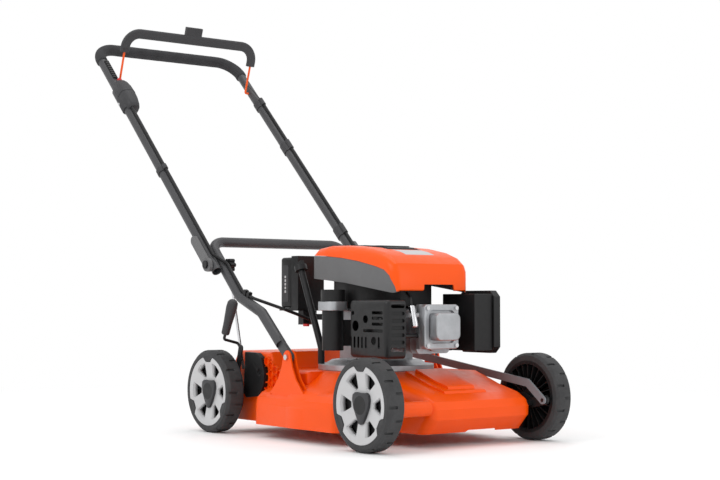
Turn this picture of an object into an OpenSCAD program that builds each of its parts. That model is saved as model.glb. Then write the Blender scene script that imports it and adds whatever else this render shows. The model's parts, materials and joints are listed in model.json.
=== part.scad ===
// Walk-behind rotary lawn mower: a pressed deck on four wheels, a vertical-shaft petrol
// engine with a battery starter, and a two-part handle that folds at its star knobs.
// Millimetres. +X is forward, +Y is the operator's left, +Z is up. The origin lies on the
// ground under the middle of the whole machine.

/* [Wheels] */
// Outer diameter of each wheel over its tread
wheel_d = 200; // [166:1:240]
// Width of a tyre
tyre_w = 46; // [38:1:56]
// Diameter of the light rim cover set in the wheel's outer face
rim_cover_d = 168; // [140:1:172]
// Distance between the front and the rear wheel centres
wheelbase = 615; // [612:1:738]
// Width over the outer faces of the tyres
track_w = 532; // [530:1:640]
// Diameter of the axle rods and the wheel stubs
axle_d = 12; // [10:0.5:15]

/* [Deck] */
// Thickness of the pressed deck
deck_wall = 3; // [2.5:0.1:3.6]
// Diameter swept by the blade
cut_d = 440; // [366:1:450]
// Height of the deck's lower edge above the ground
lip_z = 30; // [25:1:36]
// Height of the flat on which the engine stands
mount_z = 158; // [154:1:166]

/* [Handle] */
// Outer diameter of the handle tubes
tube_d = 25.4; // [21:0.1:26]
// Wall thickness of the handle tubes
tube_wall = 1.5; // [1.2:0.1:2.4]
// Distance between the upper tubes' centre lines
handle_spread = 464; // [460:1:500]
// Lean of the handle above the ground, in degrees
handle_angle = 44.1; // [42:0.1:46]
// Length of an upper tube from its joint bolt to the grip bar
upper_len = 906; // [755:1:1087]
// Diameter of the foam grip
grip_d = 32; // [29:1:36]
// Diameter of the bolt through each handle joint
joint_bolt_d = 8; // [6.7:0.1:9.6]

/* [Engine] */
// Diameter of the crankshaft
shaft_d = 25; // [21:0.5:30]
// Diameter of the flywheel
flywheel_d = 180; // [150:1:186]
// Thickness of the blade
blade_t = 4; // [3:0.1:5]

/* [Hidden] */
$fn = 64;
hull_fn = 32;

orange = "#fc6424";
dark_grey = "#4e4e50";
mid_grey = "#707072";
black = "#262628";
pale_grey = "#cdcdcd";
alloy = "#bfc1c4";
steel = "#a8aab0";

// Clearances: a shaft in its bore, and a moving face beside another.
run_gap = 0.05;
side_gap = 0.6;

// Layers across the machine, measured from its centre plane outwards.
wheel_r = wheel_d / 2;
axle_r = axle_d / 2;
wheel_out_y = track_w / 2;
wheel_in_y = wheel_out_y - tyre_w;
crank_t = 6;
crank_y = wheel_in_y - 18;
link_t = 5;
link_y = crank_y - 1.5 - link_t;
nose_y = link_y - 1.5;
box_y = nose_y - 7;

// The height linkage: each wheel stub and link pin, seen from the cross rod that carries them.
stub_off = [-30, 12];
pin_off = [43, 8];
front_rod = [-stub_off[0], wheel_r - stub_off[1]];
rear_rod = front_rod - [wheelbase, 0];
pin_r = 4;

// The engine's upright axis and the chamber below it.
engine_x = -285;
blade_z = lip_z + 16;
chamber_r = cut_d / 2 + 18;
shoulder_z = 112;
mount_r = 150;
shaft_r = shaft_d / 2;

// The handle: the joint bolt, and a point a given way up the upper tubes.
tube_r = tube_d / 2;
joint = [-643, 409.5];
upper_y = handle_spread / 2;
lower_y = upper_y - tube_d - side_gap;
function up_tube(t, off = 0) = joint
  + t * [-cos(handle_angle), sin(handle_angle)] + off * [sin(handle_angle), cos(handle_angle)];
bar_bend_r = 60;
ear_bolt = [-333, 190];
ear_y = wheel_in_y - 5;
grip_start = upper_len - bar_bend_r - 8;

// The operator-presence bail, whose pivots sit in the upper tubes.
bail_pivot_t = upper_len - 148;
bail_y = upper_y - 24;
bail_lean = 71.3;
bail_len = 136.6;
bail_rod_r = 3;
bail_pivot = up_tube(bail_pivot_t);
function on_bail(t) = bail_pivot + t * [cos(bail_lean), sin(bail_lean)];

// Middle of the machine, front to rear, which becomes the origin.
front_x = wheel_r;
rear_x = up_tube(upper_len)[0] - grip_d / 2;
origin_x = (front_x + rear_x) / 2;

seam_gap = 0.1;
bead_w = 0.6;
bead_step = 0.06;

function unit(v) = v / norm(v);
// The direction square to a run in which a swept shape's X axis points.
function side_axis(run, side) =
  norm(cross(side, run)) > 0.05 ? cross(side, run) : cross([1, 0, 0], run);
// A point of the XZ plane, set at a distance y across the machine.
function across(p, y) = [p[0], y, p[1]];
// How far a bend of radius r eats into the runs on each side of corner i.
function bend_cut(path, i, r) =
  r * tan(acos(unit(path[i] - path[i - 1]) * unit(path[i + 1] - path[i])) / 2);

// Puts children at p with their X and Z axes along the given directions.
module frame_at(p, x_dir, z_dir) {
  x = unit(x_dir);
  z = unit(z_dir);
  y = cross(z, x);
  multmatrix([[x[0], y[0], z[0], p[0]], [x[1], y[1], z[1], p[1]], [x[2], y[2], z[2], p[2]], [0, 0, 0, 1]])
    children();
}

// Sweeps a flat shape along straight runs joined by round bends of one radius.
// The shape's Y axis stays along side, so side is square to the path where the shape isn't round.
// A weld bead, a hair wider than the shape, bridges each seam between a run and a bend.
module sweep(path, bend_r, half_w, side = [0, 1, 0]) {
  last = len(path) - 1;
  for (i = [0 : last - 1]) {
    run = unit(path[i + 1] - path[i]);
    start = i == 0 ? path[0] : path[i] + run * (bend_cut(path, i, bend_r) + seam_gap);
    end = i == last - 1 ? path[last] : path[i + 1] - run * (bend_cut(path, i + 1, bend_r) + seam_gap);
    frame_at(start, side_axis(run, side), run) linear_extrude(norm(end - start)) children();
  }
  for (i = [1 : 1 : last - 1]) {
    run_in = unit(path[i] - path[i - 1]);
    run_out = unit(path[i + 1] - path[i]);
    axis = unit(cross(run_in, run_out));
    inward = cross(axis, run_in);
    cut = bend_cut(path, i, bend_r);
    frame_at(path[i] - run_in * cut + inward * bend_r, -inward, axis)
      rotate_extrude(angle = acos(run_in * run_out)) translate([bend_r, 0]) children();
    for (seam = [[path[i] - run_in * cut, run_in], [path[i] + run_out * cut, run_out]])
      frame_at(seam[0] - seam[1] * bead_w / 2, side_axis(seam[1], side), seam[1])
        linear_extrude(bead_w) scale(1 + bead_step / half_w) children();
  }
}

module rod(path, bend_r, r) {
  sweep(path, bend_r, r) circle(r);
}

module tube(path, bend_r) {
  difference() {
    rod(path, bend_r, tube_r);
    rod(path, bend_r, tube_r - tube_wall);
  }
}

// A round bar along Y from y0 to y1 at a point of the XZ plane.
module cross_bar(p, y0, y1, r) {
  translate([p[0], y1, p[1]]) rotate([90, 0, 0]) cylinder(h = y1 - y0, r = r);
}

// A flat plate in the XZ plane from y0 to y1.
module side_plate(y0, y1) {
  translate([0, y1, 0]) rotate([90, 0, 0]) linear_extrude(y1 - y0) children();
}

// A straight flat bar with round ends, running in the XZ plane from a to b, between y0 and y1.
module flat_bar(y0, y1, a, b, r) {
  along = unit(b - a);
  square_off = (r - 0.02) * [-along[1], along[0]];
  cross_bar(a, y0, y1, r);
  cross_bar(b, y0, y1, r);
  side_plate(y0, y1) polygon([a + square_off, b + square_off, b - square_off, a - square_off]);
}

module rounded_square(size, r) {
  square([size[0], size[1] - 2 * r], center = true);
  square([size[0] - 2 * r, size[1]], center = true);
  for (x = [-1, 1], y = [-1, 1])
    translate([x * (size[0] / 2 - r), y * (size[1] / 2 - r)]) circle(r);
}

module both_sides() {
  children();
  mirror([0, 1, 0]) children();
}

// ---- Wheels: local +Z points out of the wheel, with 0 at the tyre's outer face ----

rim_cover_t = 4;
rim_gap = 0.5;
bead_r = rim_cover_d / 2 + rim_gap;
core_r = bead_r - 2;
hub_r = 15;
window_count = 6;

module at_wheel(side, end) {
  mirror([0, side == "left" ? 1 : 0, 0])
    translate([end == "rear" ? -wheelbase : 0, -wheel_out_y, wheel_r]) rotate([90, 0, 0]) children();
}

// The wedge cut from the rim cover at three places, shrunk all round by a gap.
module notches(gap) {
  notch_depth = 13;
  for (i = [0 : 2])
    rotate(90 + i * 120) translate([bead_r, 0])
      polygon([[1, gap - 26], [gap - notch_depth, gap - 10], [gap - notch_depth, 10 - gap], [1, 26 - gap]]);
}

module tyre() {
  lug_count = 22;
  groove_w = 6;
  groove_depth = 3.5;
  chamfer = 6;
  color(dark_grey) difference() {
    union() {
      rotate_extrude() polygon([
        [core_r, -tyre_w], [wheel_r - chamfer, -tyre_w], [wheel_r, chamfer - tyre_w],
        [wheel_r, -chamfer], [wheel_r - chamfer, 0], [bead_r, 0], [bead_r, -rim_cover_t],
        [core_r, -rim_cover_t]]);
      translate([0, 0, -rim_cover_t]) linear_extrude(rim_cover_t - rim_gap) notches(rim_gap);
    }
    for (i = [0 : lug_count - 1])
      rotate(i * 360 / lug_count)
        translate([wheel_r - groove_depth, -groove_w / 2, (i % 2 == 0 ? -tyre_w / 2 : -tyre_w) - 1])
          cube([groove_depth + 1, groove_w, tyre_w / 2 + 2]);
  }
}

module wheel() {
  web_z = -20;
  web_t = 4;
  rib_count = 24;
  rib_w = 2;
  boss_r = 20;
  color(black) difference() {
    union() {
      rotate_extrude() polygon([
        [0, -tyre_w], [hub_r, -tyre_w], [hub_r, web_z - web_t], [core_r - 8, web_z - web_t],
        [core_r - 8, -tyre_w], [core_r, -tyre_w], [core_r, -rim_cover_t], [core_r - 8, -rim_cover_t],
        [core_r - 8, web_z], [boss_r, web_z], [boss_r, -rim_gap], [0, -rim_gap]]);
      for (i = [0 : rib_count - 1])
        rotate(i * 360 / rib_count)
          translate([hub_r - 1, -rib_w / 2, 1 - tyre_w]) cube([core_r - hub_r - 6, rib_w, tyre_w + web_z - web_t]);
    }
    translate([0, 0, -tyre_w - 1]) cylinder(h = tyre_w - 7, r = axle_r + run_gap);
  }
}

module rim() {
  rim_r = rim_cover_d / 2;
  hole_r = 20.4;
  color(pale_grey) translate([0, 0, -rim_cover_t]) linear_extrude(rim_cover_t - rim_gap) difference() {
    circle(rim_r);
    circle(hole_r);
    for (i = [0 : window_count - 1])
      rotate(i * 360 / window_count)
        polygon([[rim_r * 0.5, -4], [rim_r * 0.82, -15], [rim_r * 0.86, 0], [rim_r * 0.82, 15], [rim_r * 0.5, 4]]);
    notches(0);
  }
}

// ---- Height adjustment ----

// A cross rod with a crank plate and a wheel stub at each end. The left plate carries the link pin.
module axle(rod_at) {
  stub = rod_at + stub_off;
  pin = rod_at + pin_off;
  plate_r = 11;
  color(black) {
    cross_bar(rod_at, -crank_y, crank_y, axle_r);
    for (side = [-1, 1]) {
      y0 = side > 0 ? crank_y : -crank_y - crank_t;
      flat_bar(y0, y0 + crank_t, stub, rod_at, plate_r);
      if (side > 0) flat_bar(y0, y0 + crank_t, rod_at, pin, plate_r);
      cross_bar(stub, side > 0 ? crank_y : 8 - wheel_out_y, side > 0 ? wheel_out_y - 8 : -crank_y, axle_r);
    }
    cross_bar(pin, link_y - 0.5, crank_y, pin_r);
  }
}

module rear_axle() axle(rear_rod);
module front_axle() axle(front_rod);

// Flat bar between the two left crank plates. Its front hole is oversize, as the loop opens there.
module height_link() {
  rear_pin = rear_rod + pin_off;
  front_pin = front_rod + pin_off;
  bend_front = front_pin + [-48, 37];
  bend_rear = rear_pin + [30, 108];
  bar_r = 9;
  color(mid_grey) difference() {
    union() {
      flat_bar(link_y, link_y + link_t, rear_pin, bend_rear, bar_r);
      flat_bar(link_y, link_y + link_t, bend_rear, bend_front, bar_r);
      flat_bar(link_y, link_y + link_t, bend_front, front_pin, bar_r);
    }
    cross_bar(rear_pin, link_y - 1, link_y + link_t + 1, pin_r + run_gap);
    cross_bar(front_pin, link_y - 1, link_y + link_t + 1, pin_r + 0.5);
  }
}

blade_foot = rear_rod + [6, -2];
lever_knee = [-550, 205] + [615 - wheelbase, 0];
lever_y = crank_y + crank_t + 0.5;
grip_foot = lever_knee + [-8, 36];
grip_axis = [36, 80];

// Spring-steel blade and the cranked rod that carries the grip, on the right-hand side.
module height_lever() {
  plate_t = 4;
  rod_r = 3.5;
  plate_mid = -lever_y - plate_t / 2;
  outer_y = -wheel_out_y + 16;
  top = grip_foot + grip_axis * 0.9;
  color(black) {
    flat_bar(-lever_y - plate_t, -lever_y, blade_foot, lever_knee, 8);
    rod([across(lever_knee, plate_mid), across(lever_knee + [-13, 12], plate_mid),
         across(lever_knee + [-14, 22], outer_y), across(top, outer_y)], 6, rod_r);
  }
}

module lever_grip() {
  rod_r = 3.5;
  outer_y = -wheel_out_y + 16;
  knee = lever_knee + [-14, 22];
  along = unit(grip_foot + grip_axis * 0.9 - knee);
  grip_len = norm(grip_axis);
  color(dark_grey) frame_at(across(knee + along * 14, outer_y), [0, 1, 0], across(along, 0))
    rotate_extrude() polygon([
      [rod_r, 0], [9, 0], [10, 3], [10.5, grip_len * 0.3], [13.5, grip_len * 0.8], [12.5, grip_len * 0.95],
      [8, grip_len * 1.02], [0, grip_len * 1.03], [0, grip_len * 0.95], [rod_r, grip_len * 0.95]]);
}

// ---- Deck ----

nose_right_y = -106;
deck_rear_x = -640 + 615 - wheelbase;
ledge_z = 199;

// The deck seen from the side: nose, engine flat, raised rear tunnel.
module deck_profile(inset) {
  polygon([
    [15 - inset, -1], [15 - inset, lip_z], [45 - inset, 62], [46 - inset, 84], [34 - inset, 102 - inset],
    [8 - inset, 116 - inset], [-50, 130 - inset], [-130, mount_z - inset], [-440 + inset, mount_z - inset],
    [-455 + inset, ledge_z - inset], [deck_rear_x + 40, ledge_z - inset],
    [deck_rear_x + inset, mount_z - 20], [deck_rear_x + inset, -1]]);
}

module deck_box(inset) {
  intersection() {
    side_plate(inset - nose_y, nose_y - inset) deck_profile(inset);
    union() {
      translate([-200, nose_right_y + inset, 0]) cube([300, nose_y - nose_right_y - 2 * inset, 300]);
      translate([deck_rear_x + inset, inset - box_y, 0])
        cube([-40 - deck_rear_x - 2 * inset, 2 * box_y - 2 * inset, 300]);
    }
  }
}

module chamber(inset) {
  translate([engine_x, 0, -1]) rotate_extrude() polygon([
    [0, 0], [chamber_r - inset, 0], [chamber_r - inset, shoulder_z - 14 + 1],
    [chamber_r - 12 - inset, shoulder_z + 1 - inset / 2], [mount_r + 20 - inset, mount_z - 14 + 1 - inset / 2],
    [mount_r - inset, mount_z + 1 - inset], [0, mount_z + 1 - inset]]);
}

// The deck's straight sides between the wheels, as a section drawn out along X.
skirt_x = [-460, -125];
skirt_y = wheel_out_y - 31;

module skirt(inset) {
  half = [[skirt_y - inset, -1], [skirt_y - inset, 78], [skirt_y - 8 - inset, 96 - inset / 2],
    [skirt_y - 30, 111 - inset], [150, 126 - inset]];
  translate([skirt_x[0] + inset, 0, 0]) rotate([90, 0, 90])
    linear_extrude(skirt_x[1] - skirt_x[0] - 2 * inset)
      polygon(concat(half, [for (i = [4 : -1 : 0]) [-half[i][0], half[i][1]]]));
}

ear_r = 15;
ear_t = 4;
ear_gap = 9.6;

module ear_shape() {
  translate(ear_bolt) circle(ear_r);
  polygon([[ear_bolt[0] - 46, shoulder_z - 10], [ear_bolt[0] + 46, shoulder_z - 10],
    [ear_bolt[0] + ear_r, ear_bolt[1]], [ear_bolt[0] - ear_r, ear_bolt[1]]]);
}

module deck() {
  color(orange) difference() {
    union() {
      deck_box(0);
      chamber(0);
      skirt(0);
      cross_bar(front_rod, 5 - nose_y, nose_right_y + 4, axle_r + 11);
      both_sides() {
        side_plate(ear_y - ear_gap / 2 - ear_t, ear_y - ear_gap / 2) ear_shape();
        side_plate(ear_y + ear_gap / 2, ear_y + ear_gap / 2 + ear_t) ear_shape();
        translate([ear_bolt[0] - 46, box_y - 2, shoulder_z - 12])
          cube([92, ear_y + ear_gap / 2 + ear_t - box_y + 2, 20]);
      }
    }
    chamber(deck_wall);
    difference() {
      union() {
        deck_box(deck_wall);
        skirt(deck_wall);
      }
      chamber(0);
    }
    translate([-1500, -1000, -10]) cube([3000, 2000, 10 + lip_z]);
    translate([engine_x, 0, mount_z - 20]) cylinder(h = 40, r = shaft_r + 24);
    cross_bar(front_rod, -300, 300, axle_r + run_gap);
    cross_bar(rear_rod, -300, 300, axle_r + run_gap);
    both_sides() cross_bar(ear_bolt, ear_y - 20, ear_y + 20, joint_bolt_d / 2);
    // Clears the crank arms and the link on both sides.
    both_sides() translate([-90, crank_y - 2, 0]) cube([200, 60, 200]);
  }
}

// Black guard over the lever's notches, beside the right rear wheel.
module adjuster_cover() {
  front_x = rear_rod[0] + 122;
  rear_edge = rear_rod[0] + 32;
  color(black) difference() {
    side_plate(-link_y - link_t, -box_y - 0.3) polygon([
      [rear_edge, 96], [rear_edge + 12, 86], [front_x - 26, 92], [front_x - 4, 118], [front_x, 150],
      [front_x - 14, 184], [front_x - 34, 195], [rear_edge + 6, 196]]);
    cross_bar([front_x - 22, 150], -link_y - link_t - 1, -link_y - link_t + 4, 8);
  }
}

// Flat strut from the adjuster cover up to the right leg of the lower handle.
module handle_stay() {
  foot = rear_rod + [33, 70];
  top = up_tube(-62, -9.5);
  stay_y = -link_y - link_t - 0.2;
  color(steel) flat_bar(stay_y - 3, stay_y, foot, top, 4);
}

// ---- Lower handle ----

leg_knee = [-560, 329];
leg_dip = [-458, 292];
leg_flat_len = 46;
flat_t = 9;

function leg_path(side) = [
  across(ear_bolt + leg_flat_len * unit(leg_dip - ear_bolt), side * ear_y),
  across(leg_dip, side * (lower_y + 4)), across(leg_knee, side * lower_y), across(up_tube(85), side * lower_y)];

module lower_handle() {
  bar = up_tube(85);
  flat_end = ear_bolt + (leg_flat_len + 12) * unit(leg_dip - ear_bolt);
  path = concat(leg_path(-1), [for (i = [3 : -1 : 0]) leg_path(1)[i]]);
  color(dark_grey) difference() {
    union() {
      tube(path, 40);
      both_sides() flat_bar(ear_y - flat_t / 2, ear_y + flat_t / 2, ear_bolt, flat_end, 12.5);
    }
    both_sides() cross_bar(ear_bolt, ear_y - 10, ear_y + 10, joint_bolt_d / 2);
    both_sides() cross_bar(joint, lower_y - 20, lower_y + 20, joint_bolt_d / 2 + run_gap);
  }
}

// Bolts that stay put: one through each pair of deck ears, and four in the valve cover.
module hex_bolt(length, r) {
  cylinder(h = length, r = r);
  translate([0, 0, length]) cylinder(h = r * 1.2, r = r * 1.75, $fn = 6);
}

module fixed_bolts() {
  ear_out = ear_y + ear_gap / 2 + ear_t;
  ear_in = ear_y - ear_gap / 2 - ear_t;
  head_r = 3;
  color(steel) {
    both_sides() {
      translate(across(ear_bolt, ear_in - 3)) rotate([-90, 0, 0]) hex_bolt(ear_out - ear_in + 3, joint_bolt_d / 2);
      translate(across(ear_bolt, ear_in - 4)) rotate([-90, 0, 0])
        difference() {
          cylinder(h = 4, r = joint_bolt_d * 0.85, $fn = 6);
          translate([0, 0, -1]) cylinder(h = 6, r = joint_bolt_d / 2);
        }
    }
    for (y = [-1, 1], z = [-1, 1])
      translate([valve_x - 18, valve_y + y * bolt_half, valve_z + z * bolt_half])
        rotate([0, 90, 0]) hex_bolt(26, head_r);
  }
}

// ---- Engine ----

base_r = 137;
base_t = 14;
block_half = 62;
block_top_z = 300;
valve_x = -52;
valve_y = 0;
valve_z = 262;
plate_half = 50;
bolt_half = 42;

module engine_base() {
  color(alloy) difference() {
    union() {
      translate([engine_x, 0, mount_z]) cylinder(h = base_t, r = base_r);
      translate([engine_x, 0, mount_z + base_t]) cylinder(h = 10, r1 = base_r - 16, r2 = base_r - 32);
      translate([engine_x, 0, block_top_z - 4]) cylinder(h = housing_z[0] - block_top_z + 4, r = housing_r);
      translate([engine_x - block_half, -block_half, mount_z + base_t])
        cube([block_half * 2, block_half * 2, block_top_z - mount_z - base_t]);
    }
    translate([engine_x, 0, mount_z - 1]) cylinder(h = 200, r = shaft_r + run_gap);
  }
}

// Finned cylinder that lies forward of the crankcase.
module cylinder_block() {
  fin_count = 7;
  fin_t = 3;
  barrel_x = engine_x + block_half;
  barrel_len = valve_x - 10 - barrel_x;
  fin_half = 48;
  color(alloy) {
    translate([barrel_x, valve_y, valve_z - 20]) rotate([0, 90, 0]) cylinder(h = barrel_len, r = 36);
    for (i = [0 : fin_count - 1])
      translate([barrel_x + 14 + i * (barrel_len - 30) / (fin_count - 1), valve_y, valve_z - 20])
        rotate([0, 90, 0]) linear_extrude(fin_t) rounded_square([fin_half * 1.7, fin_half * 2], 10);
    translate([valve_x - 22, valve_y - plate_half, valve_z - plate_half])
      difference() {
        cube([12, plate_half * 2, plate_half * 2]);
        for (y = [-1, 1], z = [-1, 1])
          translate([-1, plate_half + y * bolt_half, plate_half + z * bolt_half])
            rotate([0, 90, 0]) cylinder(h = 20, r = 3);
      }
  }
}

module valve_cover() {
  color(alloy) difference() {
    union() {
      translate([valve_x - 10, valve_y, valve_z]) rotate([0, 90, 0])
        linear_extrude(18) rounded_square([plate_half * 2, plate_half * 2], 8);
      translate([valve_x + 7, valve_y, valve_z]) rotate([0, 90, 0])
        linear_extrude(26) rounded_square([62, 70], 14);
    }
    for (y = [-1, 1], z = [-1, 1])
      translate([valve_x - 20, valve_y + y * bolt_half, valve_z + z * bolt_half])
        rotate([0, 90, 0]) cylinder(h = 40, r = 3);
  }
}

plug_foot = [valve_x - 16, valve_y - plate_half, valve_z + 26];

// Spark plug in the side of the head, with its bright heat shield.
module spark_plug() {
  color(steel) {
    translate(plug_foot) rotate([90, 0, 0]) cylinder(h = 16, r = 5);
    translate(plug_foot + [2, -16, -22]) cylinder(h = 54, r = 7);
  }
}

guard_y = -142;
guard_front_x = -62;
guard_rear_x = -205;
guard_z = [192, 322];
guard_face_t = 3;

// Silencer box, its pipe to the head and the two bosses that carry the guard.
module muffler() {
  size = [115, 42, guard_z[1] - guard_z[0] - 48];
  at = [guard_rear_x + 24, guard_y + 14, guard_z[0] + 24];
  color(steel) {
    translate(at) cube(size);
    translate([valve_x - 18, at[1] + size[1] + 0.001 - 1, at[2] + 26]) rotate([-90, 0, 0])
      cylinder(h = -plate_half - at[1] - size[1] + 1 - 0.001, r = 5);
    for (x = [20, 90])
      translate([at[0] + x, guard_y + guard_face_t, at[2] + 60]) rotate([-90, 0, 0]) cylinder(h = 14, r = 6);
  }
}

// Pressed guard round the muffler, slotted on its side and front faces.
module muffler_guard() {
  wall = 2;
  depth = 66;
  length = guard_front_x - guard_rear_x;
  height = guard_z[1] - guard_z[0];
  color(black) translate([guard_rear_x, guard_y, guard_z[0]]) difference() {
    linear_extrude(height) difference() {
      union() {
        translate([length / 2, depth / 2]) rounded_square([length, depth], 12);
        translate([0, depth / 2]) square([length, depth / 2]);
      }
      translate([length / 2, depth / 2 + wall]) rounded_square([length - 2 * wall, depth - 2 * wall + 2], 10);
      translate([wall, depth / 2]) square([length - 2 * wall, depth]);
    }
    for (i = [0 : 6])
      translate([length - 6, 12, 18 + i * 15]) cube([12, depth - 30, 7]);
    for (i = [0 : 4])
      translate([12 + i * 11, -3, 16]) cube([5, 8, 28]);
    for (i = [0 : 5])
      translate([74, -3, 30 + i * 16]) cube([38, 8, 6]);
    for (at = [[26, 96, 9], [52, 84, 7], [20, 66, 11], [52, 58, 8]])
      translate([at[0], 6, at[1]]) rotate([90, 0, 0]) cylinder(h = 10, r = at[2]);
  }
}

housing_r = 100;
housing_z = [302, 372];
post_at = [6, 62];

// Round shroud over the flywheel, open at the bottom, with two posts that carry the cover.
module blower_housing() {
  color(black) difference() {
    union() {
      translate([engine_x, 0, housing_z[0]]) cylinder(h = housing_z[1] - housing_z[0], r = housing_r);
      translate([engine_x, -46, housing_z[0] + 6]) cube([150, 92, housing_z[1] - housing_z[0] - 6]);
    }
    translate([engine_x, 0, housing_z[0] - 1]) cylinder(h = housing_z[1] - housing_z[0] - 2, r = housing_r - 3);
    translate([engine_x, -43, housing_z[0] - 1]) cube([147, 86, housing_z[1] - housing_z[0] - 2]);
    translate([engine_x, 0, housing_z[0]]) cylinder(h = 100, r = 54);
  }
  color(black) both_sides()
    translate([engine_x + post_at[0], post_at[1], housing_z[1] - 1]) cylinder(h = ceiling_z - housing_z[1] + 1, r = 5);
}

cover_front_x = -72;
cover_rear_x = -399;
cover_corner_r = 26;
cover_half_y = 112;
cover_base_z = 326;
ceiling_z = 436;
cover_edge = [[-410, 375], [-259, 362], [-80, 338]];

// The outer skin shared by the orange cover and its grey side panels, shrunk by inset.
module cowl(inset) {
  corner_y = cover_half_y - cover_corner_r;
  roof_in = 30;
  hull() {
    both_sides() {
      translate([cover_rear_x + cover_corner_r, corner_y, cover_base_z])
        cylinder(h = 92, r = cover_corner_r - inset, $fn = hull_fn);
      for (x = [cover_rear_x + cover_corner_r + roof_in, engine_x + 52])
        translate([x, corner_y - roof_in, ceiling_z - inset])
          cylinder(h = 14, r = cover_corner_r - inset, $fn = hull_fn);
    }
    translate([cover_front_x - 90, inset - cover_half_y, cover_base_z])
      cube([90 - inset, 2 * (cover_half_y - inset), 66]);
    translate([cover_front_x - 90, -84 + inset, 416 - inset]) cube([60 - inset, 168 - 2 * inset, 4]);
    translate([cover_front_x - 60, -62 + inset, 408 - inset]) cube([46 - inset, 124 - 2 * inset, 2]);
  }
}

module cowl_shell() {
  difference() {
    cowl(0);
    translate([0, 0, -11]) cowl(3);
    side_plate(-300, 300) polygon(concat([[-600, 300], [100, 300], [100, cover_edge[2][1]]],
      [for (i = [2 : -1 : 0]) cover_edge[i]], [[-600, cover_edge[0][1]]]));
  }
}

// The region that the grey panels take out of the cowl, seen from the side.
module panel_zone(gap) {
  both_sides() side_plate(60, 200) polygon([
    [-500, 280], [-80 - gap, 280], [-82 - gap, 354], [-96 - gap, 380 - gap], [-146, 396 - gap],
    [-207, 409 - gap], [-271, 418 - gap], [-386, 429 - gap], [-500, 436 - gap]]);
}

module vent_pocket() {
  translate([engine_x + 14, 0, 420]) linear_extrude(60) rounded_square([116, 104], 16);
}

module top_cover() {
  color(orange) difference() {
    cowl_shell();
    panel_zone(0);
    vent_pocket();
    translate([cover_front_x - 20, -30, 320]) cube([40, 95, 40]);
    translate(fuel_at) cylinder(h = 60, r = 21);
  }
}

module side_panels() {
  color(mid_grey) intersection() {
    cowl_shell();
    panel_zone(0.3);
  }
}

// Ribbed air inlet let into the top of the cover.
module cover_vent() {
  rib_count = 8;
  color(dark_grey) difference() {
    intersection() {
      translate([0, 0, -1]) cowl_shell();
      vent_pocket();
    }
    for (i = [0 : rib_count - 1])
      translate([engine_x - 34 + i * 13, -40, 430]) cube([5, 80, 40]);
  }
}

fuel_at = [engine_x - 64, 44, 406];
fuel_bore_r = 14;

// Tank in the left rear of the cover, lying on the blower housing round the engine's axis.
module fuel_tank() {
  color(black) difference() {
    union() {
      translate([engine_x, 0, 0]) rotate(112) rotate_extrude(angle = 66)
        polygon([[64, housing_z[1]], [94, housing_z[1]], [94, 408], [64, 408]]);
      translate(fuel_at) cylinder(h = 30, r = 17);
    }
    translate(fuel_at - [0, 0, 20]) cylinder(h = 60, r = fuel_bore_r + run_gap);
  }
}

module fuel_cap() {
  color(black) translate(fuel_at) {
    cylinder(h = 34, r = fuel_bore_r);
    translate([0, 0, 30.3]) cylinder(h = 17, r = 19);
  }
}

starter_at = [-270, -138, 206];

module starter_motor() {
  color(black) translate(starter_at) {
    cylinder(h = 92, r = 25);
    translate([-15, 10, 10]) cube([30, -block_half - starter_at[1] - 10, 60]);
    translate([0, 0, 112]) cylinder(h = 28, r = 28);
  }
  color(alloy) translate(starter_at + [0, 0, 92]) {
    linear_extrude(20) rounded_square([62, 56], 20);
  }
}

oil_foot = [-352, -112, mount_z + base_t];
oil_knee = oil_foot + [0, 0, 38];
oil_top = [-428, -116, 392];
oil_dir = unit(oil_top - oil_knee);

module oil_tube() {
  color(black) rod([oil_foot, oil_knee, oil_top], 25, 8);
}

module oil_cap() {
  color(black) frame_at(oil_top + oil_dir * 0.4, [0, 1, 0], oil_dir) {
    cylinder(h = 14, r = 15);
    translate([-4, -13, 14]) cube([8, 26, 9]);
  }
}

battery_at = [-548, -97, 303];
battery_size = [52, 74, 124];

module battery() {
  color(black) translate(battery_at + [0, battery_size[1] / 2, battery_size[2] / 2]) rotate([90, 0, 90])
    linear_extrude(battery_size[0]) rounded_square([battery_size[1], battery_size[2]], 9);
}

// Holder behind the engine, with the socket for the battery and its lead connector below.
module battery_mount() {
  x0 = battery_at[0] + battery_size[0] + 0.3;
  color(black) {
    translate([x0, battery_at[1] - 2, battery_at[2] - 3]) cube([28, battery_size[1] + 4, battery_size[2] + 6]);
    translate([x0 + 2, -80, 262]) cube([22, 40, 40]);
    translate([battery_at[0], battery_at[1] - 2, battery_at[2] - 7]) cube([80, battery_size[1] + 4, 6.7]);
    translate([x0 + 20, -56, 274]) cube([engine_x - block_half - x0 - 20, 36, 14]);
  }
}

module carburettor() {
  inner_y = 48;
  color(alloy) translate([-150, inner_y, 236]) cube([60, filter_at[1] - inner_y, 46]);
  color(black) translate([-118, inner_y + 20.5, 206]) cylinder(h = 31, r = 20);
}

filter_size = [112, 54, 130];
filter_at = [-146, 89, 206];

module filter_box() {
  color(black) translate(filter_at) difference() {
    cube(filter_size);
    translate([4, 4, 4]) cube(filter_size - [8, -1, 8]);
  }
}

module filter_element() {
  color(dark_grey) translate(filter_at + [4.5, 4, 4.5]) cube(filter_size - [9, 5, 9]);
}

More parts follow.
